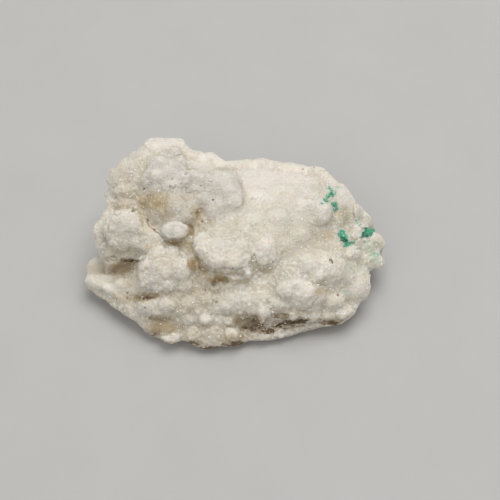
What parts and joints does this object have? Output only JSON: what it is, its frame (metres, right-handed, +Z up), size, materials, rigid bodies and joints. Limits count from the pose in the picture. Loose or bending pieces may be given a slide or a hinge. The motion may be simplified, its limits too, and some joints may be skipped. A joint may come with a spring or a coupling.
{
  "type": "white aragonite specimen",
  "caption": "Knobbly white aragonite specimen: fused rounded lobes with a sugary crystal skin, small green mineral crusts at one end, and an underside trimmed flat to rest on.",
  "frame": {"origin": "on the trimmed base plane, under the middle of the specimen's bounding box", "axes": "+X along the specimen's length towards the end with the green crusts, +Y from the long lumpy front slope towards the steep back, +Z up from the base"},
  "size_m": [0.0907, 0.0639, 0.0332],
  "materials": {
    "white_aragonite": "satin",
    "green_mineral": "satin"
  },
  "bodies": {
    "root": {"aragonite_mass": "white_aragonite", "green_crust_upper": "green_mineral", "green_crust_inner": "green_mineral", "green_crust_middle": "green_mineral", "green_crust_end": "green_mineral"}
  },
  "joints": []
}
